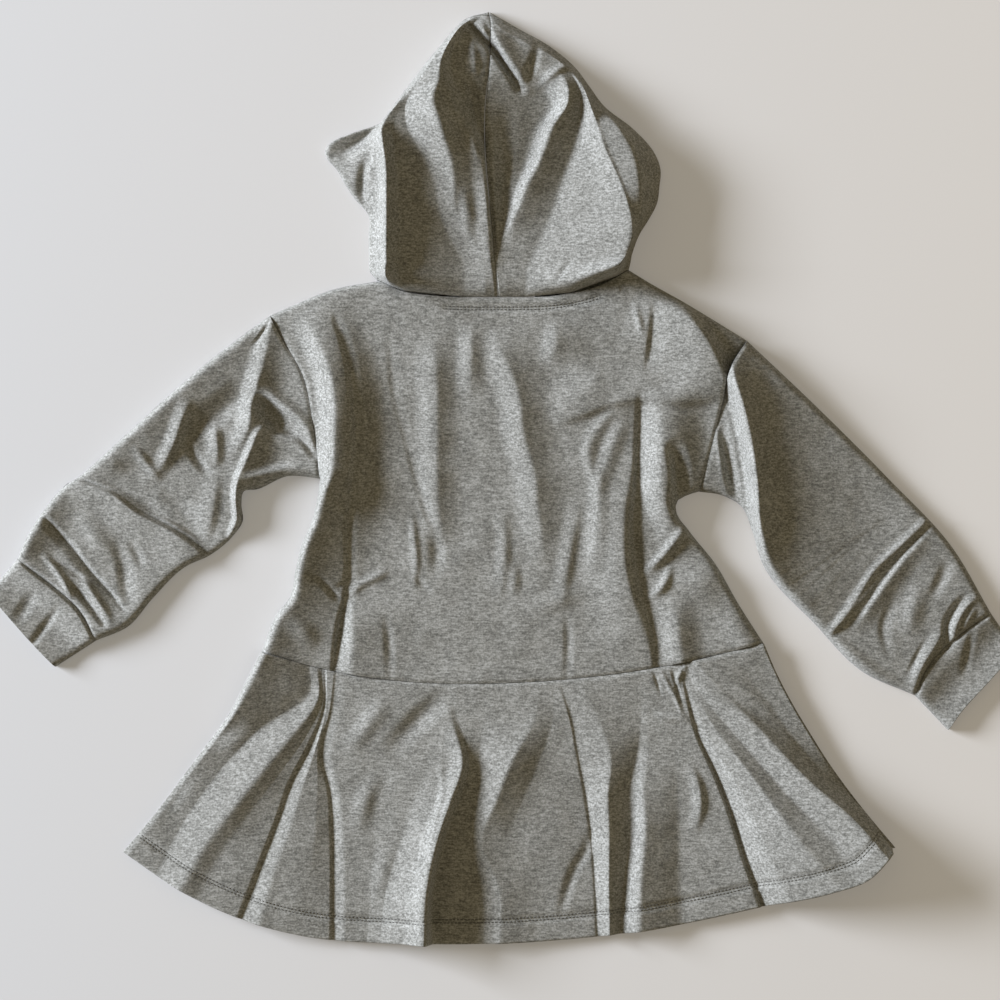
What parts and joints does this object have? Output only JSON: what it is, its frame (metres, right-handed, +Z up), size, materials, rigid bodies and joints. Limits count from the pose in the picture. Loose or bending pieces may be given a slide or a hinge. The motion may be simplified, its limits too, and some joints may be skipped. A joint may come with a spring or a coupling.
{
  "type": "child's hooded dress, laid flat",
  "caption": "Child's long-sleeved hooded dress in grey jersey with a flared skirt, lying flat and face down.",
  "frame": {"origin": "on the underside of the front bodice, on the surface the dress lies on, in the middle of the garment as laid out", "axes": "+Z up out of the back of the dress, +Y from hem to hood, +X towards the wearer's right sleeve"},
  "size_m": [0.862, 0.7819, 0.0353],
  "materials": {
    "heather_jersey": "matte grey melange cotton sweatshirt jersey"
  },
  "bodies": {
    "root": {"back_bodice": "heather_jersey", "front_bodice": "heather_jersey", "back_skirt": "heather_jersey", "front_skirt": "heather_jersey", "sleeve_left": "heather_jersey", "sleeve_right": "heather_jersey", "cuff_left": "heather_jersey", "cuff_right": "heather_jersey", "hood_left": "heather_jersey", "hood_right": "heather_jersey"}
  },
  "joints": []
}
